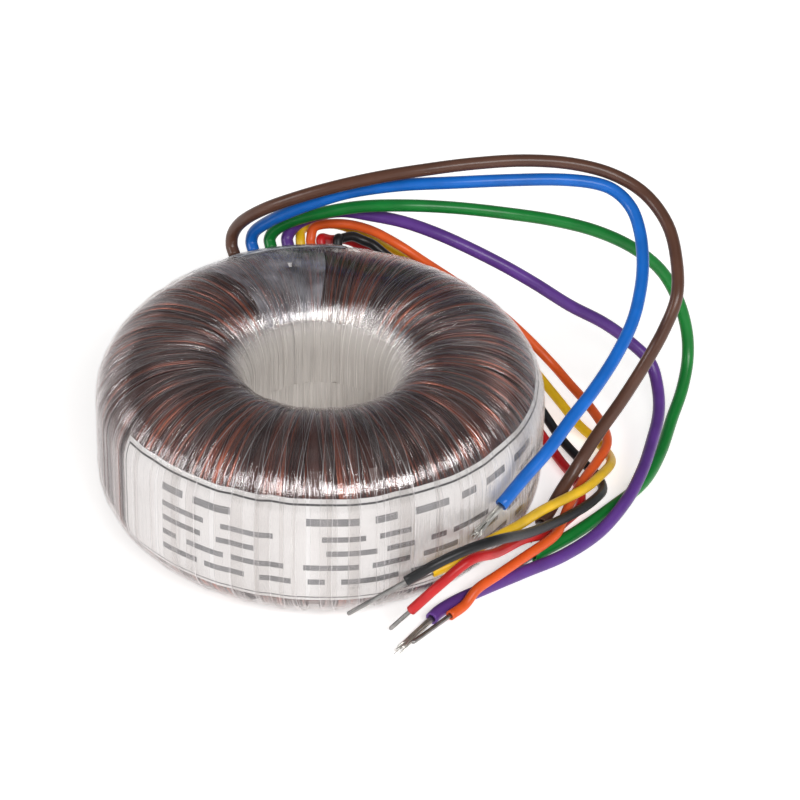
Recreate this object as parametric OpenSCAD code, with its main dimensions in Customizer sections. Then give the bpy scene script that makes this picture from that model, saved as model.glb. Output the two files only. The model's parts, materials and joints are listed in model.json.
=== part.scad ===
// Toroidal mains transformer with eight flying leads.
// Frame: origin at the centre of the base, +Z up along the axis of the ring,
// -Y towards the middle of the rating label. All sizes in millimetres.

/* [Ring] */
// Outside diameter over the film wrap
outer_d = 80; // [79:0.5:81]
// Height over the film wrap
height = 36; // [35.5:0.25:36.5]
// Diameter of the centre hole
bore_d = 25; // [24:0.5:26]
// Rounding of the outer shoulders
shoulder_r = 10; // [9.5:0.25:10.5]
// Rounding from the centre hole to the top and base faces
lip_r = 12; // [11.5:0.25:12]
// Width of the flat ring that the part stands on
flat_w = 2; // [1.5:0.25:2.5]

/* [Core] */
// Outside diameter of the tape-wound core
core_od = 66; // [64:1:67]
// Inside diameter of the core
core_id = 38; // [37:1:40]
// Height of the core
core_h = 24; // [22:1:25]
// Thickness of the insulation round the core
core_tape_t = 0.4; // [0.2:0.1:0.5]

/* [Windings] */
// Depth from the outside of the film to the outside of the second secondary
secondary_depth = 0.6; // [0.55:0.05:0.7]
// Thickness of each secondary
secondary_t = 0.7; // [0.5:0.1:0.8]
// Thickness of the insulation between the primaries and the secondaries
barrier_t = 0.2; // [0.1:0.1:0.3]
// Thickness of the second primary
primary_t = 0.4; // [0.3:0.1:0.4]
// Ridges round the outer winding, each one a bundle of turns
ridge_count = 72; // [48:4:76]
// Depth of the grooves between the ridges
groove_depth = 0.35; // [0.2:0.05:0.4]
// Gap where each winding starts and ends, in degrees
winding_gap = 6; // [4:1:8]

/* [Film wrap] */
// Thickness of the film, two layers of tape
film_t = 0.3; // [0.2:0.05:0.3]

/* [Rating label] */
// Height of the label's lower edge
label_low = 8.2; // [8:0.2:9]
// Height of the label's upper edge
label_high = 29.5; // [28.5:0.25:29.5]
// Angle where the label starts, from +X
label_start = -147; // [-150:1:-140]
// Angle that the label covers
label_sweep = 157; // [120:1:160]
// Thickness of the label
label_t = 0.2; // [0.1:0.05:0.2]

/* [Leads] */
// Diameter of the four stranded primary leads
primary_lead_d = 2.3; // [2:0.1:2.4]
// Diameter of the four sleeved secondary leads
sleeve_d = 1.8; // [1.6:0.1:1.9]
// Diameter of the solid wire in a sleeve
solid_wire_d = 0.8; // [0.6:0.1:1]
// Diameter of one strand of a primary lead
strand_d = 0.42; // [0.3:0.02:0.44]

/* [Hidden] */
$fn = 96;

outer_r = outer_d / 2;
bore_r = bore_d / 2;
lip_c = [bore_r + lip_r, height - lip_r];
flat_end = lip_c.x + flat_w;
// Half of the straight outer wall, and the centre of the shoulder above it
wall_half = 6.2;
shoulder_c = [outer_r - shoulder_r, height / 2 + wall_half];
// The crown runs level from the flat ring and meets the shoulder tangentially.
crown_run = shoulder_c.x - flat_end;
crown_drop = height - shoulder_c.y;
crown_r = (pow(crown_run, 2) + pow(crown_drop, 2) - pow(shoulder_r, 2)) / (2 * (crown_drop - shoulder_r));
crown_c = [flat_end, height - crown_r];
crown_dir = (shoulder_c - crown_c) / norm(shoulder_c - crown_c);
crown_angle = atan2(crown_dir.y, crown_dir.x);

// Steps in the lip's quarter circle, for the windings and for the film and label
wound_steps = 4;
film_steps = 9;

// Insets of each layer, measured from the outside of the film
label_in = film_t + label_t;
secondary_2_in = secondary_depth + secondary_t;
secondary_1_in = secondary_2_in + secondary_t;
barrier_in = secondary_1_in + barrier_t;
primary_2_in = barrier_in + primary_t;

// The leads leave from the back; every winding starts and ends under the pad.
pad_start = 84;
pad_sweep = 36.5;
gap_middle = pad_start + pad_sweep / 2;
exit_r = outer_r - 0.9;
exit_z = height - 5.6;
exit_slope = 45;

// Points along an arc of the section, from angle a to angle b
function arc(c, r, a, b, steps) = [
    for (i = [0 : steps]) c + r * [cos(a + (b - a) * i / steps), sin(a + (b - a) * i / steps)]
];
// Upper half of the section inset by t: up the lip, over the crown and down the shoulder
function upper_loop(t, steps) = concat(
    arc(lip_c, lip_r - t, 180, 90, steps),
    arc(crown_c, crown_r - t, 90, crown_angle, round(steps * 0.7)),
    [for (i = [1 : round(steps / 2)]) let (a = crown_angle * (1 - i / round(steps / 2)))
        shoulder_c + (shoulder_r - t) * [cos(a), sin(a)]]
);
function upside_down(points) = [for (i = [len(points) - 1 : -1 : 0]) [points[i].x, height - points[i].y]];
function loop_points(t, steps) = concat(upper_loop(t, steps), upside_down(upper_loop(t, steps)));
// A point of the section turned to angle a round the axis
function turned(p, a) = [p.x * cos(a), p.x * sin(a), p.y];

// Cross-section of a layer between the insets outside and inside
module layer_section(outside, inside, steps) {
    outer = loop_points(outside, steps);
    inner = loop_points(inside, steps);
    polygon(concat(outer, inner), [
        [for (i = [0 : len(outer) - 1]) i],
        [for (i = [0 : len(inner) - 1]) len(outer) + i],
    ]);
}

// A layer that follows the section, open for the winding gap under the pad.
module wound_layer(outside, inside) {
    rotate([0, 0, gap_middle + winding_gap / 2])
        rotate_extrude(angle = 360 - winding_gap)
            layer_section(outside, inside, wound_steps);
}

module core_section(extra = 0) {
    translate([core_id / 2 - extra, (height - core_h) / 2 - extra])
        square([(core_od - core_id) / 2 + 2 * extra, core_h + 2 * extra]);
}

// Tape-wound steel ring; its strip's turns are one solid.
module core() {
    color("slategray")
        rotate_extrude() core_section();
}

module core_insulation() {
    color("wheat")
        rotate([0, 0, gap_middle + winding_gap / 2])
            rotate_extrude(angle = 360 - winding_gap)
                difference() {
                    core_section(core_tape_t);
                    core_section();
                }
}

// The inner primary fills the space between the core's insulation and its own outside.
module primary_winding_1() {
    color("sienna")
        rotate([0, 0, gap_middle + winding_gap / 2])
            rotate_extrude(angle = 360 - winding_gap)
                difference() {
                    polygon(loop_points(primary_2_in, wound_steps));
                    core_section(core_tape_t);
                }
}

module primary_winding_2() {
    color("chocolate") wound_layer(barrier_in, primary_2_in);
}

module winding_barrier() {
    color("lightyellow") wound_layer(secondary_1_in, barrier_in);
}

module secondary_winding_1() {
    color("peru") wound_layer(secondary_2_in, secondary_1_in);
}

// The outer winding shows its turns as ridges. Each ridge advances by its own
// width once round the section, as the wire does, so the ridges lean like a helix.
module secondary_winding_2() {
    crest = loop_points(secondary_depth, wound_steps);
    groove = loop_points(secondary_depth + groove_depth, wound_steps);
    n = len(crest);
    sweep = 360 - winding_gap;
    lean = sweep / ridge_count;
    start = gap_middle + winding_gap / 2;
    last = 2 * ridge_count;
    inner_last = ridge_count / 2;
    // The flats between the inner rings touch the winding below and don't cut it.
    clear = 1 / cos((sweep - lean) / inner_last / 2);
    inside = [for (p = loop_points(secondary_2_in, wound_steps)) [p.x > lip_c.x ? p.x * clear : p.x, p.y]];
    outer_rings = [
        for (j = [0 : last]) let (a = start + (sweep - lean) * j / last)
            [for (k = [0 : n - 1]) turned(j % 2 == 1 ? crest[k] : groove[k], a + lean * k / n)]
    ];
    inner_rings = [
        for (j = [0 : inner_last]) let (a = start + (sweep - lean) * j / inner_last)
            [for (k = [0 : n - 1]) turned(inside[k], a + lean * k / n)]
    ];
    base = n * (last + 1);
    end_base = base + n * inner_last;
    points = [for (ring = concat(outer_rings, inner_rings)) for (p = ring) p];
    color("saddlebrown")
        polyhedron(points, concat(
            skin(n, 0, last, false),
            skin(n, base, inner_last, true),
            end_strip(n, 0, base, false),
            end_strip(n, n * last, end_base, true)
        ));
}

// Two triangles for each cell between neighbouring rings
function skin(n, base, last, inward) = [
    for (j = [0 : last - 1]) for (k = [0 : n - 1])
        let (a = base + j * n + k, b = base + j * n + (k + 1) % n, c = a + n, d = b + n)
            each inward ? [[a, b, c], [b, d, c]] : [[a, c, b], [b, c, d]]
];
// The flat end between an outer and an inner ring
function end_strip(n, outer, inner, far) = [
    for (k = [0 : n - 1])
        let (a = outer + k, b = outer + (k + 1) % n, c = inner + k, d = inner + (k + 1) % n)
            each far ? [[a, c, b], [b, c, d]] : [[a, b, c], [b, d, c]]
];

// Printed strip pressed against the outer winding under the film
module rating_label() {
    color("whitesmoke")
        rotate([0, 0, label_start])
            rotate_extrude(angle = label_sweep)
                intersection() {
                    layer_section(film_t, label_in, film_steps);
                    translate([outer_r - shoulder_r, label_low])
                        square([shoulder_r, label_high - label_low]);
                }
}

// Clear tape wound round the ring
module film_wrap() {
    color("lightblue", 0.35)
        rotate_extrude()
            layer_section(0, film_t, film_steps);
}

// Folded tape pad that anchors the leads on the shoulder. Its slanted face
// is square to the leads.
module lead_anchor_pad() {
    half = (outer_r - exit_r) * sqrt(2);
    foot = [exit_r + half * sin(exit_slope), exit_z - half * cos(exit_slope)];
    brow = [exit_r - half * sin(exit_slope), exit_z + half * cos(exit_slope)];
    color("gainsboro")
        rotate([0, 0, pad_start])
            rotate_extrude(angle = pad_sweep)
                difference() {
                    polygon([
                        [outer_r - 2.5, 26.5],
                        [outer_r, 26.5],
                        foot,
                        brow,
                        [outer_r - 5.2, 33.7],
                        [outer_r - 8.5, 35.5],
                        [outer_r - 8.5, 34],
                    ]);
                    polygon(loop_points(0, film_steps));
                }
}

// Leads. Each one leaves the pad square to its face at the angle given, runs
// straight for a moment, and then follows its own points to its cut end.
function exit_point(angle) = turned([exit_r, exit_z], angle);
function exit_dir(angle) = turned([cos(exit_slope), sin(exit_slope)], angle);
function route(angle, straight, points) = concat(
    [exit_point(angle), exit_point(angle) + straight * exit_dir(angle)],
    points
);

brown_route = route(116, 2, [
    [-17.5, 37, 34], [-16, 36, 37], [-13, 34, 40.5], [-8.5, 32, 44], [-0.5, 30.5, 48],
    [8.5, 30, 51], [17.5, 30, 53], [26.5, 31, 54], [35.5, 32.5, 54], [44, 33.5, 53],
    [51.5, 33.5, 51], [57.5, 31, 48.5], [61.5, 25.5, 45.5], [63, 19, 42], [63, 13.5, 38],
    [61, 10.5, 33], [58, 8, 27.5], [54, 6.5, 20], [50, 5, 13.5], [46.5, 2.5, 8],
    [43.5, -1.5, 5], [41.4, -5.8, 3.6], [39.9, -9, 3.6],
]);
blue_route = route(110.5, 2, [
    [-13.5, 38, 34], [-11, 36.5, 37], [-8, 34.5, 40], [-3, 33.5, 43], [4, 33, 46],
    [13, 31, 49], [23, 30, 50.5], [33, 30.5, 51], [41.5, 32, 50.5], [48, 32, 50],
    [52, 31, 49], [55, 28.5, 47], [56.5, 24.5, 44.5], [57, 19.5, 41.5], [56.5, 14, 39],
    [55, 8, 36], [52, 1.5, 33], [48, -5, 30], [44, -10.5, 27.5], [40, -16.5, 25],
    [36, -21, 22.5], [32, -26, 20],
]);
green_route = route(105.5, 2, [
    [-9.5, 39, 34], [-6.5, 38, 36.5], [-2, 36.5, 39], [5.5, 34.5, 42], [14, 33, 43.5],
    [23, 33.5, 43], [32.5, 34.5, 41.5], [41.5, 36.5, 39], [49.5, 38, 36], [56.5, 39, 32],
    [62, 39.5, 27], [65.5, 38.5, 21.5], [67.5, 36.5, 16], [68, 34, 11], [67, 29.5, 7],
    [65, 24, 4], [62.5, 15.5, 2], [59, 7, 1.5], [53, -1, 1.5], [46, -9, 1.5], [38.5, -16, 1.5],
]);
violet_route = route(100.8, 2, [
    [-6, 40.5, 34], [-2.5, 40, 36.5], [2.5, 38.5, 38.5], [8, 36.5, 39], [14, 34.5, 39],
    [20, 32.5, 38], [26, 31, 36], [32.5, 30, 33], [38.5, 29.5, 29.5], [45, 29.5, 25],
    [51.5, 30, 21], [56.5, 30, 17], [60.5, 28.5, 13.5], [62, 25, 10], [62, 19.5, 8],
    [60.5, 12.5, 6.5], [58.5, 5, 5.5], [55.5, -2, 4], [50.5, -9, 2], [44, -15.5, 1.5],
    [37, -20.5, 1.5], [29, -26, 1.3], [25, -29.3, 1.5], [22, -32.4, 1.6], [20.6, -34.6, 1.6],
]);
orange_route = route(94.6, 1.5, [
    [-2.5, 41, 33.4], [1, 40.5, 34.5], [5, 40, 34.5], [9, 38.5, 34], [13.5, 36.5, 32.5],
    [18, 36, 29.5], [24, 37, 24.5], [31, 38, 18.5], [37, 37.5, 13], [42.5, 35.5, 8],
    [46, 31.5, 6], [49.5, 26, 5], [52, 20, 4.5], [52.5, 14.5, 4.5], [50.5, 9.5, 4],
    [48, 4, 4], [45.5, -2, 3.5], [43.8, -8.5, 4], [42.1, -14, 4.5], [36.5, -20.5, 4.5],
    [32, -25, 4], [28.5, -28.5, 3.6], [26.3, -31, 1.9], [23.8, -34, 1.9],
]);
yellow_route = route(97.4, 1.5, [
    [-5, 42, 32], [-2.5, 44, 32], [1.5, 45, 31.5], [5.5, 45, 30], [10, 44.5, 28],
    [15.5, 44, 25], [22.5, 43.5, 20.5], [30, 41.5, 15], [36, 37.5, 10], [40.5, 32.5, 6.5],
    [44, 28, 4.5], [47.5, 23.5, 2.5], [51, 19.5, 1.5], [53, 14.5, 2], [53, 9, 4],
    [51, 3.5, 5.5], [48, -2, 6.5], [44, -7.5, 8], [39.5, -14, 10], [35, -22, 12.5],
    [30, -28.5, 14], [25.5, -33, 13.5], [20.5, -35.6, 12.5],
]);
red_route = route(91.8, 1.5, [
    [0.5, 42, 30], [3, 43, 29.5], [5.5, 43, 28.5], [8.5, 42.5, 26.5], [13, 41, 23.5],
    [19.5, 38.5, 19], [26, 34.5, 14.5], [32, 29, 10], [37, 23.5, 6], [41, 18, 3],
    [44, 13, 1.5], [46.5, 7.5, 1.5], [47.5, 3, 1.5], [47, -1.5, 1.5], [44.5, -5.5, 1.5],
    [41.6, -10.5, 2.6], [36.5, -19, 7.5], [31.5, -29, 12], [27, -35, 15], [22, -38, 12],
    [17, -38, 6],
]);
black_route = route(87.4, 1.5, [
    [2.5, 41, 31], [4.5, 41, 31.5], [6.5, 40.5, 31], [8.5, 40.5, 30], [11.5, 39.5, 28],
    [16, 39.5, 25], [22, 38.5, 20.5], [28, 36, 15.5], [33.5, 31.5, 11.5], [38, 27, 7.5],
    [41.5, 22.5, 4.5], [44.5, 18, 2.5], [48, 13, 1.5], [50.5, 9, 1.5], [51.5, 4, 2],
    [50, -1, 3.5], [47, -6.5, 5], [42.5, -13, 7], [37, -22.5, 11.5], [32, -31, 16.5],
    [27, -35, 17.5], [21.5, -38, 16.5], [16, -39.5, 13.5],
]);

function unit(v) = v / norm(v);
// Direction of the route at point i
function tangent(points, i) =
    i == 0 ? unit(points[1] - points[0]) :
    i == len(points) - 1 ? unit(points[i] - points[i - 1]) :
    unit(unit(points[i + 1] - points[i]) + unit(points[i] - points[i - 1]));
// What is left of v across direction t, so that the tube doesn't twist
function across(v, t) = unit(v - (v * t) * t);

// Plain eight-sided tube, with one ring at each point of its route
module tube(points, d) {
    sides = 8;
    last = len(points) - 1;
    normals = [
        for (i = 0, v = across([0, 0, 1], tangent(points, 0)); i <= last;
            i = i + 1, v = i <= last ? across(v, tangent(points, i)) : v) v
    ];
    rings = [
        for (i = [0 : last]) let (u = normals[i], w = cross(tangent(points, i), u))
            for (k = [0 : sides - 1])
                points[i] + d / 2 * (cos(360 * k / sides) * u + sin(360 * k / sides) * w)
    ];
    polyhedron(rings, concat(
        [for (j = [0 : last - 1]) for (k = [0 : sides - 1])
            let (a = j * sides + k, b = j * sides + (k + 1) % sides)
                each [[a, b, a + sides], [b, b + sides, a + sides]]],
        [[for (k = [sides - 1 : -1 : 0]) k]],
        [[for (k = [0 : sides - 1]) last * sides + k]]
    ));
}

// Turns +Z of its children to direction v and moves them to point p
module along(p, v) {
    translate(p)
        rotate([0, acos(v.z / norm(v)), atan2(v.y, v.x)])
            children();
}

// Single bare wire, square to the sleeve's cut end
module solid_wire(points, length) {
    last = len(points) - 1;
    color("silver")
        along(points[last], tangent(points, last))
            cylinder(h = length, d = solid_wire_d, $fn = 32);
}

// Seven bare strands, side by side, square to the lead's cut end
module strands(points, length) {
    last = len(points) - 1;
    color("silver")
        along(points[last], tangent(points, last)) {
            cylinder(h = length, d = strand_d, $fn = 24);
            for (k = [0 : 5])
                rotate([0, 0, 60 * k])
                    translate([strand_d * 1.05, 0, 0])
                        cylinder(h = length - k * 0.2, d = strand_d, $fn = 24);
        }
}

module lead_brown() { color("saddlebrown") tube(brown_route, primary_lead_d); }
module lead_blue() { color("royalblue") tube(blue_route, primary_lead_d); }
module lead_green() { color("green") tube(green_route, primary_lead_d); }
module lead_violet() { color("rebeccapurple") tube(violet_route, primary_lead_d); }
module sleeve_orange() { color("darkorange") tube(orange_route, sleeve_d); }
module sleeve_yellow() { color("gold") tube(yellow_route, sleeve_d); }
module sleeve_red() { color("red") tube(red_route, sleeve_d); }
module sleeve_black() { color("black") tube(black_route, sleeve_d); }

module strands_brown() { strands(brown_route, 5.5); }
module strands_blue() { strands(blue_route, 8); }
module strands_green() { strands(green_route, 6); }
module strands_violet() { strands(violet_route, 11); }
module wire_orange() { solid_wire(orange_route, 10); }
module wire_yellow() { solid_wire(yellow_route, 9.5); }
module wire_red() { solid_wire(red_route, 5.5); }
module wire_black() { solid_wire(black_route, 11.5); }

core();
core_insulation();
primary_winding_1();
primary_winding_2();
winding_barrier();
secondary_winding_1();
secondary_winding_2();
rating_label();
film_wrap();
lead_anchor_pad();
lead_brown();
lead_blue();
lead_green();
lead_violet();
sleeve_orange();
sleeve_yellow();
sleeve_red();
sleeve_black();
strands_brown();
strands_blue();
strands_green();
strands_violet();
wire_orange();
wire_yellow();
wire_red();
wire_black();
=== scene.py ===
import json
import math
import random

import bpy
import numpy as np
from mathutils import Matrix, Vector


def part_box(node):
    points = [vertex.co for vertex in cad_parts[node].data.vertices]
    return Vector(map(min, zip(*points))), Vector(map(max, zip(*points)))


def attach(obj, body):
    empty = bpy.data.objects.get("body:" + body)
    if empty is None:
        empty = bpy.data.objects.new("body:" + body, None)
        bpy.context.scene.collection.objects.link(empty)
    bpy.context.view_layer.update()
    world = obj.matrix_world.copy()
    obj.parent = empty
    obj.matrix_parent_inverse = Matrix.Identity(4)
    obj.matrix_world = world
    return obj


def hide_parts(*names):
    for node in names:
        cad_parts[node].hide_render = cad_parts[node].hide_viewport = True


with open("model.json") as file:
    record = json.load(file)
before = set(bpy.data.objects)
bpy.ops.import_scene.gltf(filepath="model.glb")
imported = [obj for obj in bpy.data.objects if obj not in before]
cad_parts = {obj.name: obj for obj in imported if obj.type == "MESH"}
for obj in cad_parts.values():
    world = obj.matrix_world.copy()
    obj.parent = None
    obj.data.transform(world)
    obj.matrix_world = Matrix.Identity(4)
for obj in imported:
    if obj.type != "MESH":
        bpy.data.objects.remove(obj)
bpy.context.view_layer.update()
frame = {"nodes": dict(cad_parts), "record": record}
MM = 0.001


# ---------------------------------------------------------------- cords' routes
# The points of each lead's route, in millimetres, as the part has them.
EXIT_R, EXIT_Z, EXIT_SLOPE = 39.1, 30.4, 45.0
ROUTES = {
    "brown": (116, 2, [
        (-17.5, 37, 34), (-16, 36, 37), (-13, 34, 40.5), (-8.5, 32, 44), (-0.5, 30.5, 48),
        (8.5, 30, 51), (17.5, 30, 53), (26.5, 31, 54), (35.5, 32.5, 54), (44, 33.5, 53),
        (51.5, 33.5, 51), (57.5, 31, 48.5), (61.5, 25.5, 45.5), (63, 19, 42), (63, 13.5, 38),
        (61, 10.5, 33), (58, 8, 27.5), (54, 6.5, 20), (50, 5, 13.5), (46.5, 2.5, 8),
        (43.5, -1.5, 5), (41.4, -5.8, 3.6), (39.9, -9, 3.6)]),
    "blue": (110.5, 2, [
        (-13.5, 38, 34), (-11, 36.5, 37), (-8, 34.5, 40), (-3, 33.5, 43), (4, 33, 46),
        (13, 31, 49), (23, 30, 50.5), (33, 30.5, 51), (41.5, 32, 50.5), (48, 32, 50),
        (52, 31, 49), (55, 28.5, 47), (56.5, 24.5, 44.5), (57, 19.5, 41.5), (56.5, 14, 39),
        (55, 8, 36), (52, 1.5, 33), (48, -5, 30), (44, -10.5, 27.5), (40, -16.5, 25),
        (36, -21, 22.5), (32, -26, 20)]),
    "green": (105.5, 2, [
        (-9.5, 39, 34), (-6.5, 38, 36.5), (-2, 36.5, 39), (5.5, 34.5, 42), (14, 33, 43.5),
        (23, 33.5, 43), (32.5, 34.5, 41.5), (41.5, 36.5, 39), (49.5, 38, 36), (56.5, 39, 32),
        (62, 39.5, 27), (65.5, 38.5, 21.5), (67.5, 36.5, 16), (68, 34, 11), (67, 29.5, 7),
        (65, 24, 4), (62.5, 15.5, 2), (59, 7, 1.5), (53, -1, 1.5), (46, -9, 1.5), (38.5, -16, 1.5)]),
    "violet": (100.8, 2, [
        (-6, 40.5, 34), (-2.5, 40, 36.5), (2.5, 38.5, 38.5), (8, 36.5, 39), (14, 34.5, 39),
        (20, 32.5, 38), (26, 31, 36), (32.5, 30, 33), (38.5, 29.5, 29.5), (45, 29.5, 25),
        (51.5, 30, 21), (56.5, 30, 17), (60.5, 28.5, 13.5), (62, 25, 10), (62, 19.5, 8),
        (60.5, 12.5, 6.5), (58.5, 5, 5.5), (55.5, -2, 4), (50.5, -9, 2), (44, -15.5, 1.5),
        (37, -20.5, 1.5), (29, -26, 1.3), (25, -29.3, 1.5), (22, -32.4, 1.6), (20.6, -34.6, 1.6)]),
    "orange": (94.6, 1.5, [
        (-2.5, 41, 33.4), (1, 40.5, 34.5), (5, 40, 34.5), (9, 38.5, 34), (13.5, 36.5, 32.5),
        (18, 36, 29.5), (24, 37, 24.5), (31, 38, 18.5), (37, 37.5, 13), (42.5, 35.5, 8),
        (46, 31.5, 6), (49.5, 26, 5), (52, 20, 4.5), (52.5, 14.5, 4.5), (50.5, 9.5, 4),
        (48, 4, 4), (45.5, -2, 3.5), (43.8, -8.5, 4), (42.1, -14, 4.5), (36.5, -20.5, 4.5),
        (32, -25, 4), (28.5, -28.5, 3.6), (26.3, -31, 1.9), (23.8, -34, 1.9)]),
    "yellow": (97.4, 1.5, [
        (-5, 42, 32), (-2.5, 44, 32), (1.5, 45, 31.5), (5.5, 45, 30), (10, 44.5, 28),
        (15.5, 44, 25), (22.5, 43.5, 20.5), (30, 41.5, 15), (36, 37.5, 10), (40.5, 32.5, 6.5),
        (44, 28, 4.5), (47.5, 23.5, 2.5), (51, 19.5, 1.5), (53, 14.5, 2), (53, 9, 4),
        (51, 3.5, 5.5), (48, -2, 6.5), (44, -7.5, 8), (39.5, -14, 10), (35, -22, 12.5),
        (30, -28.5, 14), (25.5, -33, 13.5), (20.5, -35.6, 12.5)]),
    "red": (91.8, 1.5, [
        (0.5, 42, 30), (3, 43, 29.5), (5.5, 43, 28.5), (8.5, 42.5, 26.5), (13, 41, 23.5),
        (19.5, 38.5, 19), (26, 34.5, 14.5), (32, 29, 10), (37, 23.5, 6), (41, 18, 3),
        (44, 13, 1.5), (46.5, 7.5, 1.5), (47.5, 3, 1.5), (47, -1.5, 1.5), (44.5, -5.5, 1.5),
        (41.6, -10.5, 2.6), (36.5, -19, 7.5), (31.5, -29, 12), (27, -35, 15), (22, -38, 12),
        (17, -38, 6)]),
    "black": (87.4, 1.5, [
        (2.5, 41, 31), (4.5, 41, 31.5), (6.5, 40.5, 31), (8.5, 40.5, 30), (11.5, 39.5, 28),
        (16, 39.5, 25), (22, 38.5, 20.5), (28, 36, 15.5), (33.5, 31.5, 11.5), (38, 27, 7.5),
        (41.5, 22.5, 4.5), (44.5, 18, 2.5), (48, 13, 1.5), (50.5, 9, 1.5), (51.5, 4, 2),
        (50, -1, 3.5), (47, -6.5, 5), (42.5, -13, 7), (37, -22.5, 11.5), (32, -31, 16.5),
        (27, -35, 17.5), (21.5, -38, 16.5), (16, -39.5, 13.5)]),
}


def exit_point(angle):
    a = math.radians(angle)
    return Vector((EXIT_R * math.cos(a), EXIT_R * math.sin(a), EXIT_Z))


def exit_direction(angle):
    a, e = math.radians(angle), math.radians(EXIT_SLOPE)
    return Vector((math.cos(a) * math.cos(e), math.sin(a) * math.cos(e), math.sin(e)))


def full_route(name):
    angle, straight, points = ROUTES[name]
    start = exit_point(angle)
    return [start, start + straight * exit_direction(angle)] + [Vector(p) for p in points]


# ---------------------------------------------------------------- materials
def material(name):
    m = bpy.data.materials.new(name)
    m.use_nodes = True
    nt = m.node_tree
    bsdf = nt.nodes["Principled BSDF"]
    return m, nt, bsdf


def node(nt, kind, **values):
    n = nt.nodes.new(kind)
    for key, value in values.items():
        if key.startswith("in_"):
            n.inputs[key[3:].replace("_", " ")].default_value = value
        else:
            setattr(n, key, value)
    return n


def noise(nt, scale, detail=4.0, stretch=None):
    coord = node(nt, "ShaderNodeTexCoord")
    source = coord.outputs["Object"]
    if stretch:
        mapping = node(nt, "ShaderNodeMapping")
        mapping.inputs["Scale"].default_value = stretch
        nt.links.new(source, mapping.inputs["Vector"])
        source = mapping.outputs["Vector"]
    n = node(nt, "ShaderNodeTexNoise", in_Scale=scale, in_Detail=detail)
    nt.links.new(source, n.inputs["Vector"])
    return n.outputs["Fac"]


def ramp(nt, fac, stops):
    r = node(nt, "ShaderNodeValToRGB")
    for element, (position, colour) in zip(r.color_ramp.elements, (stops[0], stops[-1])):
        element.position, element.color = position, (*colour, 1)
    for position, colour in stops[1:-1]:
        r.color_ramp.elements.new(position).color = (*colour, 1)
    nt.links.new(fac, r.inputs["Fac"])
    return r.outputs["Color"]


def bump(nt, bsdf, height, strength, distance):
    b = node(nt, "ShaderNodeBump", in_Strength=strength, in_Distance=distance)
    nt.links.new(height, b.inputs["Height"])
    nt.links.new(b.outputs["Normal"], bsdf.inputs["Normal"])


def shade(colour, k):
    return tuple(min(1, c * k) for c in colour)


def pvc(name, colour, roughness=0.32):
    m, nt, bsdf = material(name)
    tone = ramp(nt, noise(nt, 180, 3), [(0.35, shade(colour, 0.86)), (0.65, shade(colour, 1.1))])
    nt.links.new(tone, bsdf.inputs["Base Color"])
    bsdf.inputs["Roughness"].default_value = roughness
    bsdf.inputs["Specular IOR Level"].default_value = 0.35
    bump(nt, bsdf, noise(nt, 900, 2), 0.25, 0.0001)
    return m


def tin(name, colour, roughness):
    m, nt, bsdf = material(name)
    tone = ramp(nt, noise(nt, 700, 3), [(0.35, shade(colour, 0.7)), (0.65, colour)])
    nt.links.new(tone, bsdf.inputs["Base Color"])
    bsdf.inputs["Metallic"].default_value = 1
    bsdf.inputs["Roughness"].default_value = roughness
    bump(nt, bsdf, noise(nt, 2500, 2), 0.3, 0.00005)
    return m


def enamel(name, dark, bright):
    m, nt, bsdf = material(name)
    # Base colour runs from dark to bright by the point attribute tone: the dark maroon is the enamel's own colour,
    # the bright copper-orange on a few turns is painted highlight.
    attribute = node(nt, "ShaderNodeAttribute", attribute_name="tone")
    tone = ramp(nt, attribute.outputs["Fac"], [(0.0, dark), (1.0, bright)])
    nt.links.new(tone, bsdf.inputs["Base Color"])
    bsdf.inputs["Metallic"].default_value = 0.75
    bsdf.inputs["Roughness"].default_value = 0.3
    bsdf.inputs["Coat Weight"].default_value = 0.6
    bsdf.inputs["Coat Roughness"].default_value = 0.12
    return m


# Radii in metres between which the film goes from milky to clear.
CROWDED_WITHIN, CLEAR_BEYOND = 0.0128, 0.0175


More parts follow.
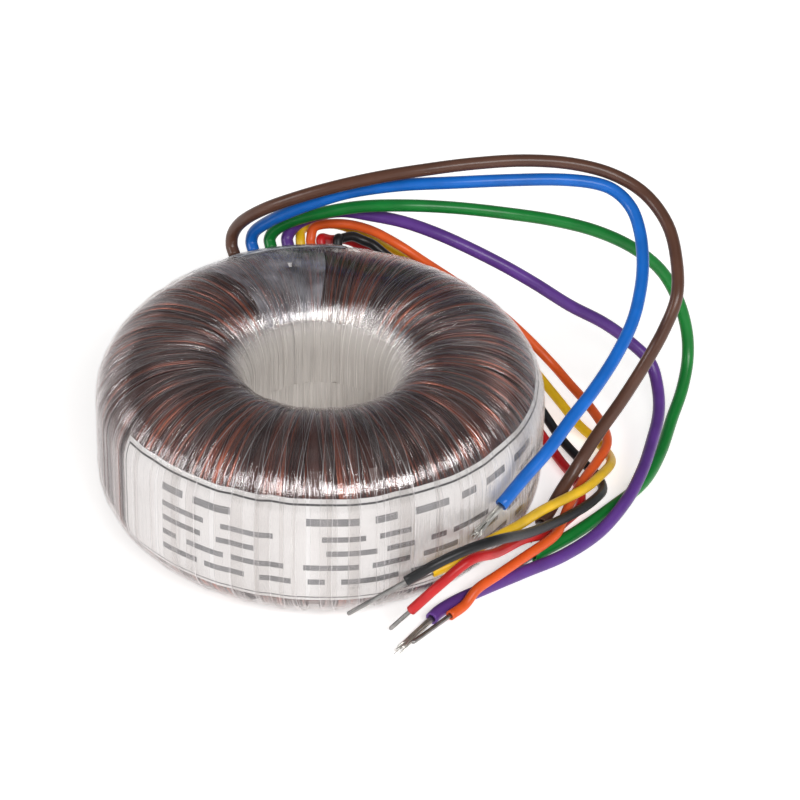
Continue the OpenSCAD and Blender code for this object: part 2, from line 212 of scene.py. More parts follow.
def film(name, face_gloss, edge_gloss, roughness, bore_gloss, fold_height=0.0007):
    """Clear film: transparent, with the gloss of several layers. Layers crowd in the bore, which is milky."""
    m, nt, bsdf = material(name)
    bsdf.inputs["Roughness"].default_value = roughness
    strip = node(nt, "ShaderNodeAttribute", attribute_name="strip")
    folds = node(nt, "ShaderNodeTexNoise", in_Scale=1.0, in_Detail=2.5)
    nt.links.new(strip.outputs["Vector"], folds.inputs["Vector"])
    bump(nt, bsdf, folds.outputs["Fac"], 0.8, fold_height)
    clear = node(nt, "ShaderNodeBsdfTransparent")
    clear.inputs["Color"].default_value = (0.97, 0.965, 0.96, 1)
    weight = node(nt, "ShaderNodeLayerWeight", in_Blend=0.5)
    slant = node(nt, "ShaderNodeMath", operation="POWER")
    slant.inputs[1].default_value = 4.0
    nt.links.new(weight.outputs["Facing"], slant.inputs[0])
    gloss = node(nt, "ShaderNodeMath", operation="MULTIPLY_ADD", use_clamp=True)
    gloss.inputs[1].default_value, gloss.inputs[2].default_value = edge_gloss, face_gloss
    nt.links.new(slant.outputs["Value"], gloss.inputs[0])
    coord = node(nt, "ShaderNodeTexCoord")
    flat = node(nt, "ShaderNodeVectorMath", operation="MULTIPLY")
    flat.inputs[1].default_value = (1, 1, 0)
    nt.links.new(coord.outputs["Object"], flat.inputs[0])
    radius = node(nt, "ShaderNodeVectorMath", operation="LENGTH")
    nt.links.new(flat.outputs["Vector"], radius.inputs[0])
    crowd = node(nt, "ShaderNodeMapRange", interpolation_type="SMOOTHSTEP")
    crowd.inputs["From Min"].default_value, crowd.inputs["From Max"].default_value = CROWDED_WITHIN, CLEAR_BEYOND
    crowd.inputs["To Min"].default_value, crowd.inputs["To Max"].default_value = 1.0, 0.0
    nt.links.new(radius.outputs["Value"], crowd.inputs["Value"])
    milk = node(nt, "ShaderNodeMath", operation="MULTIPLY")
    milk.inputs[1].default_value = bore_gloss
    nt.links.new(crowd.outputs["Result"], milk.inputs[0])
    metal = node(nt, "ShaderNodeMath", operation="MULTIPLY_ADD")
    metal.inputs[1].default_value, metal.inputs[2].default_value = -0.75, 1.0
    nt.links.new(crowd.outputs["Result"], metal.inputs[0])
    nt.links.new(metal.outputs["Value"], bsdf.inputs["Metallic"])
    nt.links.new(ramp(nt, crowd.outputs["Result"], [(0.0, (0.90, 0.86, 0.87)), (1.0, (0.95, 0.90, 0.85))]),
                 bsdf.inputs["Base Color"])
    total = node(nt, "ShaderNodeMath", operation="ADD", use_clamp=True)
    nt.links.new(gloss.outputs["Value"], total.inputs[0])
    nt.links.new(milk.outputs["Value"], total.inputs[1])
    mix = node(nt, "ShaderNodeMixShader")
    nt.links.new(total.outputs["Value"], mix.inputs["Fac"])
    nt.links.new(clear.outputs["BSDF"], mix.inputs[1])
    nt.links.new(bsdf.outputs["BSDF"], mix.inputs[2])
    nt.links.new(mix.outputs["Shader"], nt.nodes["Material Output"].inputs["Surface"])
    return m


MATERIALS = {
    "brown": pvc("pvc_brown", (0.085, 0.036, 0.022)),
    "blue": pvc("pvc_blue", (0.005, 0.12, 0.48)),
    "green": pvc("pvc_green", (0.005, 0.17, 0.025)),
    "violet": pvc("pvc_violet", (0.10, 0.035, 0.22)),
    "orange": pvc("pvc_orange", (0.72, 0.10, 0.015), 0.38),
    "yellow": pvc("pvc_yellow", (0.80, 0.48, 0.01), 0.38),
    "red": pvc("pvc_red", (0.50, 0.012, 0.014), 0.38),
    "black": pvc("pvc_black", (0.012, 0.012, 0.013), 0.38),
}
M_STRAND = tin("tinned_strands", (0.72, 0.70, 0.66), 0.28)
M_WIRE = tin("tinned_wire", (0.34, 0.33, 0.32), 0.34)
# The dark colour is the enamelled wire's own; the bright one is painted highlight, standing in for the orange glint
# lines along the wires.
M_WINDING = enamel("enamelled_wire", (0.040, 0.009, 0.007), (0.36, 0.085, 0.04))
M_FILM = film("clear_film", 0.06, 0.5, 0.12, 0.55)
M_FILM_EDGE = film("film_edge", 0.45, 0.5, 0.35, 0.5)


# ---------------------------------------------------------------- mesh helpers
def mesh_object(name, vertices, faces, material_list, smooth=True, tones_and_highlights=None, material_index=None, strip=None):
    """A linked mesh object; tones (which carry the winding's painted highlight lines) and strip become point
    attributes that the materials read.
    """
    mesh = bpy.data.meshes.new(name)
    face_list = faces if isinstance(faces, list) else np.asarray(faces).tolist()
    mesh.from_pydata(np.asarray(vertices).tolist(), [], face_list)
    for m in material_list:
        mesh.materials.append(m)
    if smooth:
        mesh.polygons.foreach_set("use_smooth", [True] * len(mesh.polygons))
    if material_index is not None:
        mesh.polygons.foreach_set("material_index", material_index)
    if tones_and_highlights is not None:
        mesh.attributes.new("tone", "FLOAT", "POINT").data.foreach_set("value", np.asarray(tones_and_highlights, dtype=np.float32))
    if strip is not None:
        mesh.attributes.new("strip", "FLOAT_VECTOR", "POINT").data.foreach_set(
            "vector", np.asarray(strip, dtype=np.float32).ravel())
    mesh.update()
    obj = bpy.data.objects.new(name, mesh)
    bpy.context.scene.collection.objects.link(obj)
    return obj


def smooth_path(points, per_step=6):
    """A Catmull-Rom curve through the points."""
    p = [2 * points[0] - points[1]] + list(points) + [2 * points[-1] - points[-2]]
    out = []
    for i in range(1, len(p) - 2):
        for k in range(per_step):
            t = k / per_step
            out.append(0.5 * ((2 * p[i]) + (p[i + 1] - p[i - 1]) * t
                              + (2 * p[i - 1] - 5 * p[i] + 4 * p[i + 1] - p[i + 2]) * t * t
                              + (3 * p[i] - p[i - 1] - 3 * p[i + 1] + p[i + 2]) * t ** 3))
    out.append(p[-2].copy())
    return out


def frames_along(path):
    """A tangent and two cross directions at each point, turning as little as possible."""
    last = len(path) - 1
    tangents = [(path[min(i + 1, last)] - path[max(i - 1, 0)]).normalized() for i in range(len(path))]
    u = tangents[0].orthogonal().normalized()
    out = []
    for t in tangents:
        u = (u - u.dot(t) * t).normalized()
        out.append((t, u, t.cross(u)))
    return out


def tube_mesh(path, radii, sides, bore=0.0, depth=0.0):
    """A tube along path; bore and depth give its far end a hollow."""
    frames = frames_along(path)
    vertices, faces = [], []
    rings = [(p, f, r) for p, f, r in zip(path, frames, radii)]
    if bore:
        end, f = path[-1], frames[-1]
        rings += [(end + 0.06 * MM * f[0], f, radii[-1] - 0.1 * MM), (end + 0.06 * MM * f[0], f, bore),
                  (end - depth * f[0], f, bore * 0.96)]
    for p, (t, u, w), r in rings:
        for k in range(sides):
            a = 2 * math.pi * k / sides
            vertices.append(p + r * (math.cos(a) * u + math.sin(a) * w))
    for j in range(len(rings) - 1):
        for k in range(sides):
            a, b = j * sides + k, j * sides + (k + 1) % sides
            faces.append((a, b, b + sides, a + sides))
    faces.append(tuple(range(sides - 1, -1, -1)))
    last = (len(rings) - 1) * sides
    faces.append(tuple(range(last, last + sides)))
    return vertices, faces


# ---------------------------------------------------------------- leads
def end_direction(route):
    return (route[-1] - route[-2]).normalized()


def stranded_end(name, route, length, spread, seed):
    """Fine tinned strands, a little splayed, from the lead's cut end."""
    rng = random.Random(seed)
    start, forward = route[-1] * MM, end_direction(route)
    side = forward.orthogonal().normalized()
    up = forward.cross(side)
    strand_r, lowest = 0.115 * MM, 0.2 * MM
    vertices, faces = [], []
    spots = [(0, 0)] + [(0.27, 60 * k) for k in range(6)] + [(0.52, 30 * k + 10) for k in range(12)]
    for radius, angle in spots:
        a = math.radians(angle)
        base = (radius * (math.cos(a) * side + math.sin(a) * up)) * MM
        splay = (rng.uniform(-1, 1) * side + rng.uniform(-1, 1) * up) * spread * MM
        strand_length = length * rng.uniform(0.82, 1.0) * MM
        path = []
        for i in range(9):
            f = i / 8
            twist = 0.6 * f
            around = base * (1 - 0.25 * f)
            turned = around * math.cos(twist) + forward.cross(around) * math.sin(twist)
            bend = splay * f * f + (0.10 * MM * math.sin(6 * f + radius * 9)) * side
            path.append(start + forward * (strand_length * f - (0.8 * MM if i == 0 else 0)) + turned + bend)
        path = [Vector((p.x, p.y, max(p.z, lowest))) for p in path]
        strand_vertices, strand_faces = tube_mesh(path, [strand_r] * len(path), 6)
        offset = len(vertices)
        vertices += strand_vertices
        faces += [tuple(offset + i for i in face) for face in strand_faces]
    return mesh_object(name, vertices, faces, [M_STRAND])


def solid_end(name, route, length, diameter):
    """The bare solid wire that a sleeve leaves open, with a slightly burred cut end."""
    start, forward = route[-1] * MM, end_direction(route)
    path = [start - forward * 1.4 * MM, start, start + forward * 0.5 * length * MM,
            start + forward * (length - 0.35) * MM, start + forward * length * MM]
    r = diameter / 2 * MM
    vertices, faces = tube_mesh(path, [r, r, r, r * 1.02, r * 0.72], 20)
    return mesh_object(name, vertices, faces, [M_WIRE])


LEADS = {
    # colour: (node, diameter, conductor's node, conductor's length, stranded)
    "brown": ("lead_brown", 2.3, "strands_brown", 5.5, True),
    "blue": ("lead_blue", 2.3, "strands_blue", 8, True),
    "green": ("lead_green", 2.3, "strands_green", 6, True),
    "violet": ("lead_violet", 2.3, "strands_violet", 11, True),
    "orange": ("sleeve_orange", 1.8, "wire_orange", 10, False),
    "yellow": ("sleeve_yellow", 1.8, "wire_yellow", 9.5, False),
    "red": ("sleeve_red", 1.8, "wire_red", 5.5, False),
    "black": ("sleeve_black", 1.8, "wire_black", 11.5, False),
}
for index, (colour, (lead_node, d, end_node, end_length, stranded)) in enumerate(LEADS.items()):
    route = full_route(colour)
    path = [p * MM for p in smooth_path(route)]
    hollow = 0.72 if stranded else 0.55
    vertices, faces = tube_mesh(path, [d / 2 * MM] * len(path), 20, hollow * MM, 1.2 * MM)
    piece = mesh_object(colour + "_lead_cover", vertices, faces, [MATERIALS[colour]])
    if stranded:
        end = stranded_end(colour + "_strands", route, end_length, 0.5, index)
    else:
        end = solid_end(colour + "_wire_end", route, end_length, 0.8)
    for obj, cad_node in ((piece, lead_node), (end, end_node)):
        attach(obj, "root")
        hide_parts(cad_node)


# ---------------------------------------------------------------- the ring's section
record = frame["record"]
film_low, film_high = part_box("film_wrap")
OUTER_R = round(film_high[0] / MM)
HEIGHT = round(film_high[2] / MM)
BORE_R = next(m for m in record["mounts"] if m["name"] == "centre_hole")["dims"]["r_mm"]
LIP_R, SHOULDER_R, FLAT_W, WALL_HALF = 12.0, 10.0, 2.0, 6.2


def build_profile():
    """Dense samples (arc length, r, z, normal r, normal z) round the section, from the middle of the bore upwards."""
    lip = (BORE_R + LIP_R, HEIGHT - LIP_R)
    flat_end = lip[0] + FLAT_W
    shoulder = (OUTER_R - SHOULDER_R, HEIGHT / 2 + WALL_HALF)
    run, drop = shoulder[0] - flat_end, HEIGHT - shoulder[1]
    crown_r = (run ** 2 + drop ** 2 - SHOULDER_R ** 2) / (2 * (drop - SHOULDER_R))
    crown = (flat_end, HEIGHT - crown_r)
    crown_end = math.degrees(math.atan2(shoulder[1] - crown[1], shoulder[0] - crown[0]))
    rows = [(BORE_R, HEIGHT / 2 + (lip[1] - HEIGHT / 2) * i / 20, -1, 0) for i in range(20)]

    def arc(c, r, a, b, n):
        for i in range(n):
            t = math.radians(a + (b - a) * i / n)
            rows.append((c[0] + r * math.cos(t), c[1] + r * math.sin(t), math.cos(t), math.sin(t)))

    arc(lip, LIP_R, 180, 90, 90)
    rows.extend((lip[0] + FLAT_W * i / 8, HEIGHT, 0, 1) for i in range(8))
    arc(crown, crown_r, 90, crown_end, 60)
    arc(shoulder, SHOULDER_R, crown_end, 0, 40)
    rows.extend((OUTER_R, shoulder[1] - (shoulder[1] - HEIGHT / 2) * i / 20, 1, 0) for i in range(21))
    lower = [(r, HEIGHT - z, nr, -nz) for r, z, nr, nz in reversed(rows[:-1])]
    rows += lower
    table, total, previous = [], 0.0, None
    for r, z, nr, nz in rows:
        if previous:
            total += math.hypot(r - previous[0], z - previous[1])
        table.append((total, r, z, nr, nz))
        previous = (r, z)
    return np.array(table)


PROFILE = build_profile()
LENGTH = PROFILE[-1, 0]


def profile_at(s):
    s = np.mod(s, LENGTH)
    return [np.interp(s, PROFILE[:, 0], PROFILE[:, k]) for k in (1, 2, 3, 4)]


def surface(s, angle, inset):
    """Points in metres on the ring, at arc length s, azimuth angle in degrees, inset from the outside in mm."""
    r, z, nr, nz = profile_at(s)
    r, z = r - inset * nr, z - inset * nz
    a = np.radians(angle)
    return np.stack([r * np.cos(a), r * np.sin(a), z], axis=-1) * MM


def smoothstep(x, a, b):
    t = np.clip((x - a) / (b - a), 0, 1)
    return t * t * (3 - 2 * t)


S_LIP = (HEIGHT / 2 - LIP_R)
S_TOP = PROFILE[np.argmax(PROFILE[:, 1] >= OUTER_R - 0.001), 0]
S_BOTTOM = LENGTH - S_TOP
BACK_GAP = 102.0


# ---------------------------------------------------------------- the outer winding's turns
def winding():
    """Single wires that lean in groups over the top and are stacked three deep at the bore."""
    rng = random.Random(11)
    turns, pieces, gap = 410, 3, 5.0
    steps, sides, wire_r = 66, 6, 0.29
    s = np.linspace(0, LENGTH, steps, endpoint=False)
    r = profile_at(s)[0]
    crowd = np.clip((30 - r) / 17, 0, 1)
    advance = 0.87
    top_lean = smoothstep(s, S_LIP, S_TOP) - smoothstep(s, S_BOTTOM, LENGTH - S_LIP)
    base = np.linspace(BACK_GAP + gap / 2, BACK_GAP + 360 - gap / 2, turns)
    groups, k = [], 0
    while k < turns:
        size = rng.randint(5, 13)
        groups += [(rng.uniform(-2.6, 2.6), rng.uniform(-0.12, 0.12), rng.uniform(-0.4, 0.4))] * size
        k += size
    for piece in range(pieces):
        vertices, faces, tones_and_highlights = [], [], []
        for i in range(piece * turns // pieces, (piece + 1) * turns // pieces):
            lean, lift, shift = groups[i]
            wobble = rng.uniform(-0.25, 0.25) * np.sin(2 * math.pi * s / LENGTH * 3 + rng.uniform(0, 6.3))
            turn_lean = lean + rng.uniform(-0.25, 0.25)
            angle = base[i] + shift + advance * (s / LENGTH) + turn_lean * top_lean + wobble * crowd
            stack = rng.choice((0, 0.42, 0.84))
            inset = 0.93 - lift * (1 - crowd) + stack * crowd + rng.uniform(-0.06, 0.06)
            inset = np.maximum(inset, 0.9)
            centre = surface(s, angle, inset)
            nr, nz = profile_at(s)[2:]
            a = np.radians(angle)
            normal = np.stack([nr * np.cos(a), nr * np.sin(a), nz], axis=-1)
            tangent = np.roll(centre, -1, axis=0) - np.roll(centre, 1, axis=0)
            tangent /= np.linalg.norm(tangent, axis=1, keepdims=True)
            side = np.cross(tangent, normal)
            offset = len(vertices) * steps * sides
            rings = []
            for q in range(sides):
                t = 2 * math.pi * (q + 0.5) / sides
                rings.append(centre + wire_r * MM * (math.cos(t) * side + math.sin(t) * normal))
            vertices.append(np.stack(rings, axis=1).reshape(-1, 3))
            j, q = np.meshgrid(np.arange(steps), np.arange(sides), indexing="ij")
            a0 = offset + j * sides + q
            a1 = offset + j * sides + (q + 1) % sides
            b0 = offset + ((j + 1) % steps) * sides + q
            b1 = offset + ((j + 1) % steps) * sides + (q + 1) % sides
            faces.append(np.stack([a0, b0, b1, a1], axis=-1).reshape(-1, 4))
            # A random tone per turn, cubed so that only a few turns come out bright: those bright turns are painted
            # highlight lines, not a real difference in the wire.
            tones_and_highlights.append(np.full(steps * sides, rng.uniform(0.0, 1.0) ** 3))
        obj = mesh_object(f"winding_turns_{piece + 1}", np.concatenate(vertices), np.concatenate(faces),
                          [M_WINDING], tones_and_highlights=np.concatenate(tones_and_highlights))
        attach(obj, "root")
        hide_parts("secondary_winding_2")


winding()


# ---------------------------------------------------------------- the film
def crease_field(seed, low, high):
    """A closed line of random heights round the ring, straight between its knots."""
    rng = random.Random(seed)
    knots, heights, a = [], [], 0.0
    while a < 360:
        knots.append(a)
        heights.append(rng.uniform(-1, 1))
        a += rng.uniform(low, high)
    knots.append(360.0)
    heights.append(heights[0])
    return lambda angle: np.interp(np.mod(angle, 360), knots, heights)


def film_layer(name, turns, top_lean, half_width, inset, lift, seed, columns=16, steps=96):
    """Strips of film wound round the section; each one's second edge lies lift mm above its first."""
    rng = random.Random(seed)
    broad, narrow = crease_field(seed, 1.6, 4.5), crease_field(seed + 1, 0.9, 2)
    other = crease_field(seed + 2, 1.5, 4)
    s = np.linspace(0, LENGTH, steps + 1)
    r = profile_at(s)[0]
    on_wall = smoothstep(r, 36, 39.9)
    advance = 360 / turns
    lean = (top_lean * smoothstep(s, S_LIP - 4, S_TOP)
            + (advance - top_lean) * smoothstep(s, S_BOTTOM, LENGTH - 2))
    v = np.concatenate([[-1, -0.97], np.linspace(-0.9, 0.9, columns - 3), [0.97, 1]])
    vertices, faces, index, strip = [], [], [], []
    for i in range(turns):
        start = i * advance + rng.uniform(-0.22, 0.22) * advance
        outside = smoothstep(s, S_LIP, S_TOP) * (1 - smoothstep(s, S_BOTTOM, LENGTH - S_LIP))
        twist = rng.uniform(-1.5, 1.5) * outside
        width = half_width * rng.uniform(0.9, 1.1)
        angle = (start + lean + twist)[:, None] + width * v[None, :]
        flat = angle - lean[:, None]
        amplitude = 0.26 - 0.19 * on_wall
        relief = (broad(flat) * 0.6 + narrow(flat + 3 * s[:, None] / LENGTH) * 0.2
                  + other(flat) * np.sin(2 * math.pi * s / LENGTH * 2 + seed)[:, None] * 0.35)
        depth = inset - lift * (v[None, :] + 1) / 2 - amplitude[:, None] * relief
        depth = np.clip(depth, 0.02, 0.46)
        along = np.repeat(s[:, None], len(v), axis=1)
        offset = i * len(s) * len(v)
        vertices.append(surface(along, angle, depth).reshape(-1, 3))
        bump_place = np.stack([flat * 1.1, along * 0.05, np.full_like(flat, seed + 0.37 * i)], axis=-1)
        strip.append(bump_place.reshape(-1, 3))
        j, q = np.meshgrid(np.arange(steps), np.arange(len(v) - 1), indexing="ij")
        a0 = offset + j * len(v) + q
        b0 = a0 + len(v)
        faces.append(np.stack([a0, b0, b0 + 1, a0 + 1], axis=-1).reshape(-1, 4))
        index.append(np.where((q == 0) | (q == len(v) - 2), 1, 0).ravel())
    obj = mesh_object(name, np.concatenate(vertices), np.concatenate(faces), [M_FILM, M_FILM_EDGE],
                      material_index=np.concatenate(index).astype(np.int32), strip=np.concatenate(strip))
    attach(obj, "root")
    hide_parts("film_wrap")


film_layer("film_under", 60, 7.0, 3.7, 0.36, 0.10, 21)
film_layer("film_over", 46, -6.0, 4.9, 0.22, 0.10, 33)


def loose_sheet():
    """The last length of film, folded back over the top beside the leads' exit: greyer, with broad creases."""
    m, nt, bsdf = material("loose_film")
    tone = ramp(nt, noise(nt, 210, 4), [(0.3, (0.30, 0.29, 0.33)), (0.7, (0.66, 0.64, 0.68))])
    nt.links.new(tone, bsdf.inputs["Base Color"])
    bsdf.inputs["Roughness"].default_value = 0.22
    bsdf.inputs["Metallic"].default_value = 0.35
    nt.links.new(ramp(nt, noise(nt, 260, 3, (1, 1, 0.4)), [(0.35, (0.16, 0.16, 0.16)), (0.68, (0.55, 0.55, 0.55))]),
                 bsdf.inputs["Alpha"])
    bump(nt, bsdf, noise(nt, 330, 3), 0.6, 0.0006)
    rows, columns = 60, 110
    s = np.linspace(S_LIP + 7, S_TOP - 9, rows)[:, None]
    v = np.linspace(0, 1, columns)[None, :]
    a0 = 92 + 2.0 * np.sin(s / 5.0)
    a1 = 135 + 4.0 * np.sin(s / 6.0 + 1)
    angle = a0 + (a1 - a0) * v
    fold = crumple(angle * 0.5 + 0 * s, s * 0.35 + 0 * v, 17)
    depth = np.clip(0.09 - 0.07 * fold, 0.01, 0.2)
    vertices = surface(np.repeat(s, columns, axis=1), angle, depth).reshape(-1, 3)
    j, q = np.meshgrid(np.arange(rows - 1), np.arange(columns - 1), indexing="ij")
    k = j * columns + q
    faces = np.stack([k, k + columns, k + columns + 1, k + 1], axis=-1).reshape(-1, 4)
    obj = mesh_object("film_loose_sheet", vertices, faces, [m])
    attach(obj, "root")


# ---------------------------------------------------------------- the label
LABEL_START, LABEL_SWEEP, LABEL_LOW, LABEL_HIGH = -147.0, 157.0, 8.2, 29.5


def s_at_height(z):
    """Arc length on the outer wall where the section has height z."""
    outer = (PROFILE[:, 1] > 32)
    order = np.argsort(PROFILE[outer, 2])
    return float(np.interp(z, PROFILE[outer, 2][order], PROFILE[outer, 0][order]))


def label():
    """The strip under the film, its border, and plain grey bars where the printing was."""
    m, nt, bsdf = material("label_strip")
    tone = ramp(nt, noise(nt, 60, 5), [(0.3, (0.60, 0.585, 0.58)), (0.7, (0.74, 0.73, 0.73))])
    nt.links.new(tone, bsdf.inputs["Base Color"])
    bsdf.inputs["Roughness"].default_value = 0.5
    ink, nt2, bsdf2 = material("label_ink")
    tone = ramp(nt2, noise(nt2, 300, 3), [(0.3, (0.02, 0.02, 0.022)), (0.7, (0.05, 0.05, 0.055))])
    nt2.links.new(tone, bsdf2.inputs["Base Color"])
    grey, nt3, bsdf3 = material("label_grey_bars")
    tone = ramp(nt3, noise(nt3, 300, 3), [(0.3, (0.12, 0.12, 0.125)), (0.7, (0.20, 0.20, 0.21))])
    nt3.links.new(tone, bsdf3.inputs["Base Color"])
    wave = crease_field(5, 3, 7)

    def band(a0, a1, z0, z1, inset, step=0.7):
        n = max(2, int((a1 - a0) / step))
        rows = max(2, int((z1 - z0) / 1.2) + 1)
        angle = np.linspace(a0, a1, n)
        shift = 0.16 * wave(angle)
        vertices = []
        for k in range(rows):
            z = z0 + (z1 - z0) * k / (rows - 1) + shift
            s = np.array([s_at_height(x) for x in z])
            vertices.append(surface(s, angle, np.full(n, inset)))
        grid = np.stack(vertices, axis=0)
        j, q = np.meshgrid(np.arange(rows - 1), np.arange(n - 1), indexing="ij")
        a = j * n + q
        return grid.reshape(-1, 3), np.stack([a, a + 1, a + n + 1, a + n], axis=-1).reshape(-1, 4)

    def piece(name, bands, mat, slot):
        vertices, faces, offset = [], [], 0
        for args in bands:
            v, f = band(*args)
            vertices.append(v)
            faces.append(f + offset)
            offset += len(v)
        obj = mesh_object(name, np.concatenate(vertices), np.concatenate(faces), [mat])
        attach(obj, "root")
        return obj

    end = LABEL_START + LABEL_SWEEP
    paper, printed = 0.5, 0.48
    strip = piece("label_strip", [(LABEL_START, end, LABEL_LOW, LABEL_HIGH, paper)], m, "label_paper")
    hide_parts("rating_label")
    lines = [(LABEL_START + 1, end - 1, LABEL_HIGH - 1.1, LABEL_HIGH - 0.75, printed),
             (LABEL_START + 1, end - 1, LABEL_LOW + 0.75, LABEL_LOW + 1.0, printed),
             (LABEL_START + 1, LABEL_START + 1.35, LABEL_LOW + 0.75, LABEL_HIGH - 0.75, printed)]
    piece("label_border", lines, ink, "label_paper")
    rng = random.Random(3)
    bars = []
    bars_start, bars_end = -131, -6
    for z, h in ((24.6, 2.0), (21.2, 1.5), (18.2, 1.5), (15.2, 1.5), (12.2, 1.5)):
        a = bars_start
        while a < bars_end:
            w = rng.uniform(4, 15)
            if rng.random() < 0.8:
                bars.append((a, min(a + w, bars_end), z, z + h * 0.75, printed))
            a += w + rng.uniform(2, 5)
    piece("label_bars", bars, grey, "label_paper")


label()


# ---------------------------------------------------------------- the anchor's tape
def crumple(x, y, seed):
    """A sum of a few slanted folds, from -1 to 1."""
    rng = random.Random(seed)
    total = np.zeros_like(x)
    for k in range(7):
        angle, pitch = rng.uniform(0, math.pi), rng.uniform(0.5, 1.6)
        wave = (x * math.cos(angle) + y * math.sin(angle)) * pitch + rng.uniform(0, 6)
        total += (1 - 2 * np.abs(np.mod(wave, 1) * 2 - 1)) / 7
    return total * 1.8


def anchor_tape():
    """Folded tape over the leads' exit: it follows the pad's outline, crumpled, and has a thickness."""
    pad_start, pad_sweep, slope = 84.0, 36.5, math.radians(EXIT_SLOPE)
    half = (OUTER_R - EXIT_R) * math.sqrt(2)
    foot = (EXIT_R + half * math.sin(slope), EXIT_Z - half * math.cos(slope))
    brow = (EXIT_R - half * math.sin(slope), EXIT_Z + half * math.cos(slope))
    outline = [(OUTER_R - 0.3, 26.6), (OUTER_R - 0.02, 27.2), foot, (EXIT_R, EXIT_Z), brow, (36.6, 32.4),
               (34.8, 33.7), (33.0, 34.7), (31.6, 35.35)]
    outline = [Vector((r, z, 0)) for r, z in outline]
    line = np.array([[p.x, p.y] for p in smooth_path(outline, 5)])
    inner = []
    for r, z in line:
        d = (PROFILE[:, 1] - r) ** 2 + (PROFILE[:, 2] - z) ** 2
        k = np.argmin(d)
        inner.append((PROFILE[k, 1] - 0.1 * PROFILE[k, 3], PROFILE[k, 2] - 0.1 * PROFILE[k, 4]))
    inner = np.array(inner)
    n, columns = len(line), 90
    angle = np.linspace(pad_start + 0.2, pad_start + pad_sweep - 0.2, columns)
    along = np.linspace(0, 1, n)[:, None] * 6
    wave = crumple(np.repeat(along, columns, axis=1), np.repeat(angle[None, :], n, axis=0) * 0.6, 4)
    rim = np.clip(np.minimum(angle - angle[0], angle[-1] - angle) / 2.5, 0, 1)[None, :]
    sink = np.clip(0.16 + 0.16 * wave, 0, 0.4) + 0.55 * (1 - rim)
    r = line[:, 0][:, None] * (1 - sink) + inner[:, 0][:, None] * sink
    z = line[:, 1][:, None] * (1 - sink) + inner[:, 1][:, None] * sink
    a = np.radians(angle)[None, :]
    top = np.stack([r * np.cos(a), r * np.sin(a), z + 0 * a], axis=-1) * MM
    low_r, low_z = inner[:, 0][:, None] + 0 * a, inner[:, 1][:, None] + 0 * a
    low = np.stack([low_r * np.cos(a), low_r * np.sin(a), low_z], axis=-1) * MM
    vertices = np.concatenate([top.reshape(-1, 3), low.reshape(-1, 3)])
    faces, base = [], n * columns
    for j in range(n - 1):
        for q in range(columns - 1):
            k = j * columns + q
            faces.append((k, k + 1, k + columns + 1, k + columns))
            faces.append((base + k, base + k + columns, base + k + columns + 1, base + k + 1))
    for q in range(columns - 1):
        k = (n - 1) * columns + q
        faces += [(q, base + q, base + q + 1, q + 1), (k, k + 1, base + k + 1, base + k)]
    for j in range(n - 1):
        k, e = j * columns, j * columns + columns - 1
        faces += [(k, k + columns, base + k + columns, base + k), (e, base + e, base + e + columns, e + columns)]
    m, nt, bsdf = material("anchor_tape_film")
    tone = ramp(nt, noise(nt, 160, 4), [(0.25, (0.10, 0.10, 0.12)), (0.5, (0.25, 0.26, 0.29)),
                                        (0.8, (0.55, 0.55, 0.57))])
    nt.links.new(tone, bsdf.inputs["Base Color"])
    bsdf.inputs["Roughness"].default_value = 0.16
    bsdf.inputs["Alpha"].default_value = 0.82
    bump(nt, bsdf, noise(nt, 420, 3), 0.5, 0.0005)
    obj = mesh_object("anchor_tape", vertices, faces, [m])
    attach(obj, "root")
    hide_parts("lead_anchor_pad")


anchor_tape()
loose_sheet()


# ---------------------------------------------------------------- CAD nodes that stay
def under_winding():
    m, nt, bsdf = material("inner_winding")
    tone = ramp(nt, noise(nt, 90, 4), [(0.3, (0.03, 0.008, 0.006)), (0.7, (0.10, 0.028, 0.018))])
    nt.links.new(tone, bsdf.inputs["Base Color"])
    bsdf.inputs["Roughness"].default_value = 0.35
    bump(nt, bsdf, noise(nt, 700, 2), 0.4, 0.0001)
    return m


def plain(name, low, high, roughness, metallic=0.0, scale=120):
    m, nt, bsdf = material(name)
    tone = ramp(nt, noise(nt, scale, 4), [(0.35, low), (0.65, high)])
    nt.links.new(tone, bsdf.inputs["Base Color"])
    bsdf.inputs["Roughness"].default_value = roughness
    bsdf.inputs["Metallic"].default_value = metallic
    return m


M_UNDER = under_winding()
M_CORE = plain("core_steel", (0.10, 0.10, 0.11), (0.22, 0.22, 0.24), 0.35, 1.0)
M_TAPE = plain("core_tape", (0.55, 0.48, 0.30), (0.68, 0.60, 0.40), 0.6)
M_BARRIER = plain("barrier_film", (0.52, 0.46, 0.25), (0.66, 0.60, 0.36), 0.25)
for cad_node, m in (("core", M_CORE), ("core_insulation", M_TAPE), ("primary_winding_1", M_UNDER),
                    ("primary_winding_2", M_UNDER), ("winding_barrier", M_BARRIER),
                    ("secondary_winding_1", M_UNDER)):
    obj = frame["nodes"][cad_node]
    for slot in obj.material_slots:
        slot.material = m


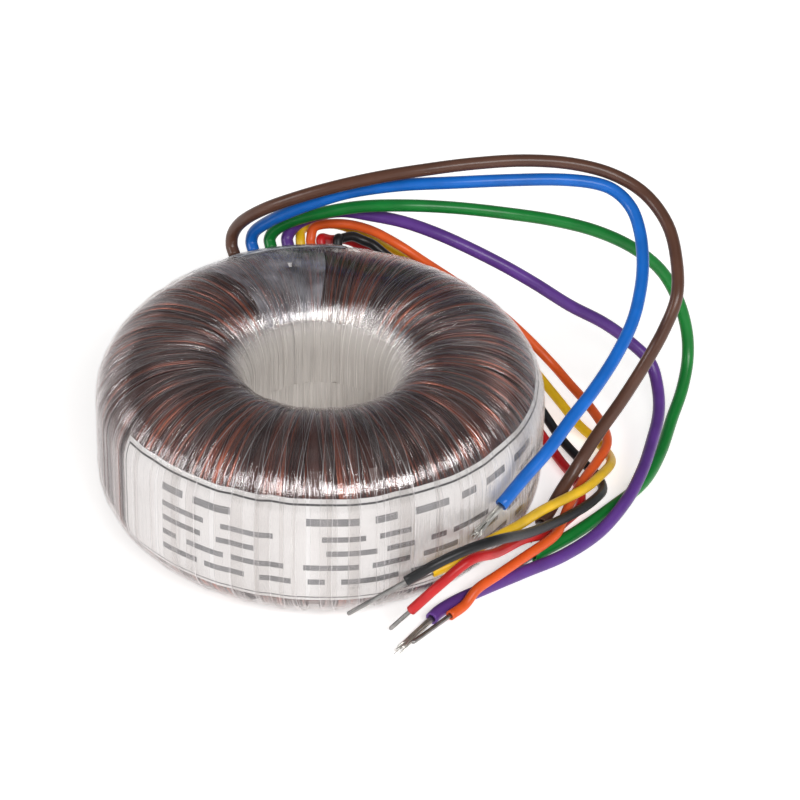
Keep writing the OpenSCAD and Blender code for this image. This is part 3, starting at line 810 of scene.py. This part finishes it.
# ---------------------------------------------------------------- floor, light and camera
def stage():
    m, nt, bsdf = material("floor_white")
    bsdf.inputs["Base Color"].default_value = (0.9, 0.9, 0.9, 1)
    bsdf.inputs["Roughness"].default_value = 0.9
    bsdf.inputs["Specular IOR Level"].default_value = 0.1
    bsdf.inputs["Emission Color"].default_value = (1, 0.98, 0.96, 1)
    bsdf.inputs["Emission Strength"].default_value = 0.5
    size = 3.0
    floor = mesh_object("floor", [(-size, -size, 0), (size, -size, 0), (size, size, 0), (-size, size, 0)],
                        [(0, 1, 2, 3)], [m], smooth=False)
    world = bpy.data.worlds.new("studio")
    world.use_nodes = True
    bpy.context.scene.world = world
    wt = world.node_tree
    background = wt.nodes["Background"]
    coord = node(wt, "ShaderNodeTexCoord")
    split = node(wt, "ShaderNodeSeparateXYZ")
    wt.links.new(coord.outputs["Generated"], split.inputs["Vector"])
    colour = ramp(wt, split.outputs["Z"], [(0.0, (1, 1, 1)), (0.30, (0.95, 0.95, 0.96)), (0.48, (0.26, 0.26, 0.27)),
                                           (0.8, (0.22, 0.22, 0.23)), (1.0, (0.8, 0.8, 0.8))])
    wt.links.new(colour, background.inputs["Color"])
    background.inputs["Strength"].default_value = 0.62

    def area(name, place, target, size_x, size_y, power):
        light = bpy.data.lights.new(name, "AREA")
        light.shape = "RECTANGLE"
        light.size, light.size_y, light.energy = size_x, size_y, power
        obj = bpy.data.objects.new(name, light)
        obj.location = place
        obj.rotation_euler = (Vector(target) - Vector(place)).to_track_quat("-Z", "Y").to_euler()
        bpy.context.scene.collection.objects.link(obj)

    area("softbox_front", (0.30, -0.75, 0.70), (0, 0, 0.02), 0.75, 0.22, 8.5)
    area("softbox_left", (-0.85, -0.35, 0.45), (0, 0, 0.02), 0.25, 0.4, 3.5)
    scene = bpy.context.scene
    scene.view_settings.view_transform = "Standard"


def camera():
    data = bpy.data.cameras.new("camera")
    data.lens, data.sensor_width = 152.0, 36.0
    data.clip_start, data.clip_end = 0.05, 20
    cam = bpy.data.objects.new("camera", data)
    bpy.context.scene.collection.objects.link(cam)
    bpy.context.scene.camera = cam
    place, target = Vector((0.01415, -0.4914, 0.36765)), Vector((0.01415, 0, 0.02333))
    look = (target - place).to_track_quat("-Z", "Y").to_matrix().to_4x4()
    cam.matrix_world = Matrix.Translation(place) @ look @ Matrix.Rotation(math.radians(1.54), 4, "Z")


stage()
camera()
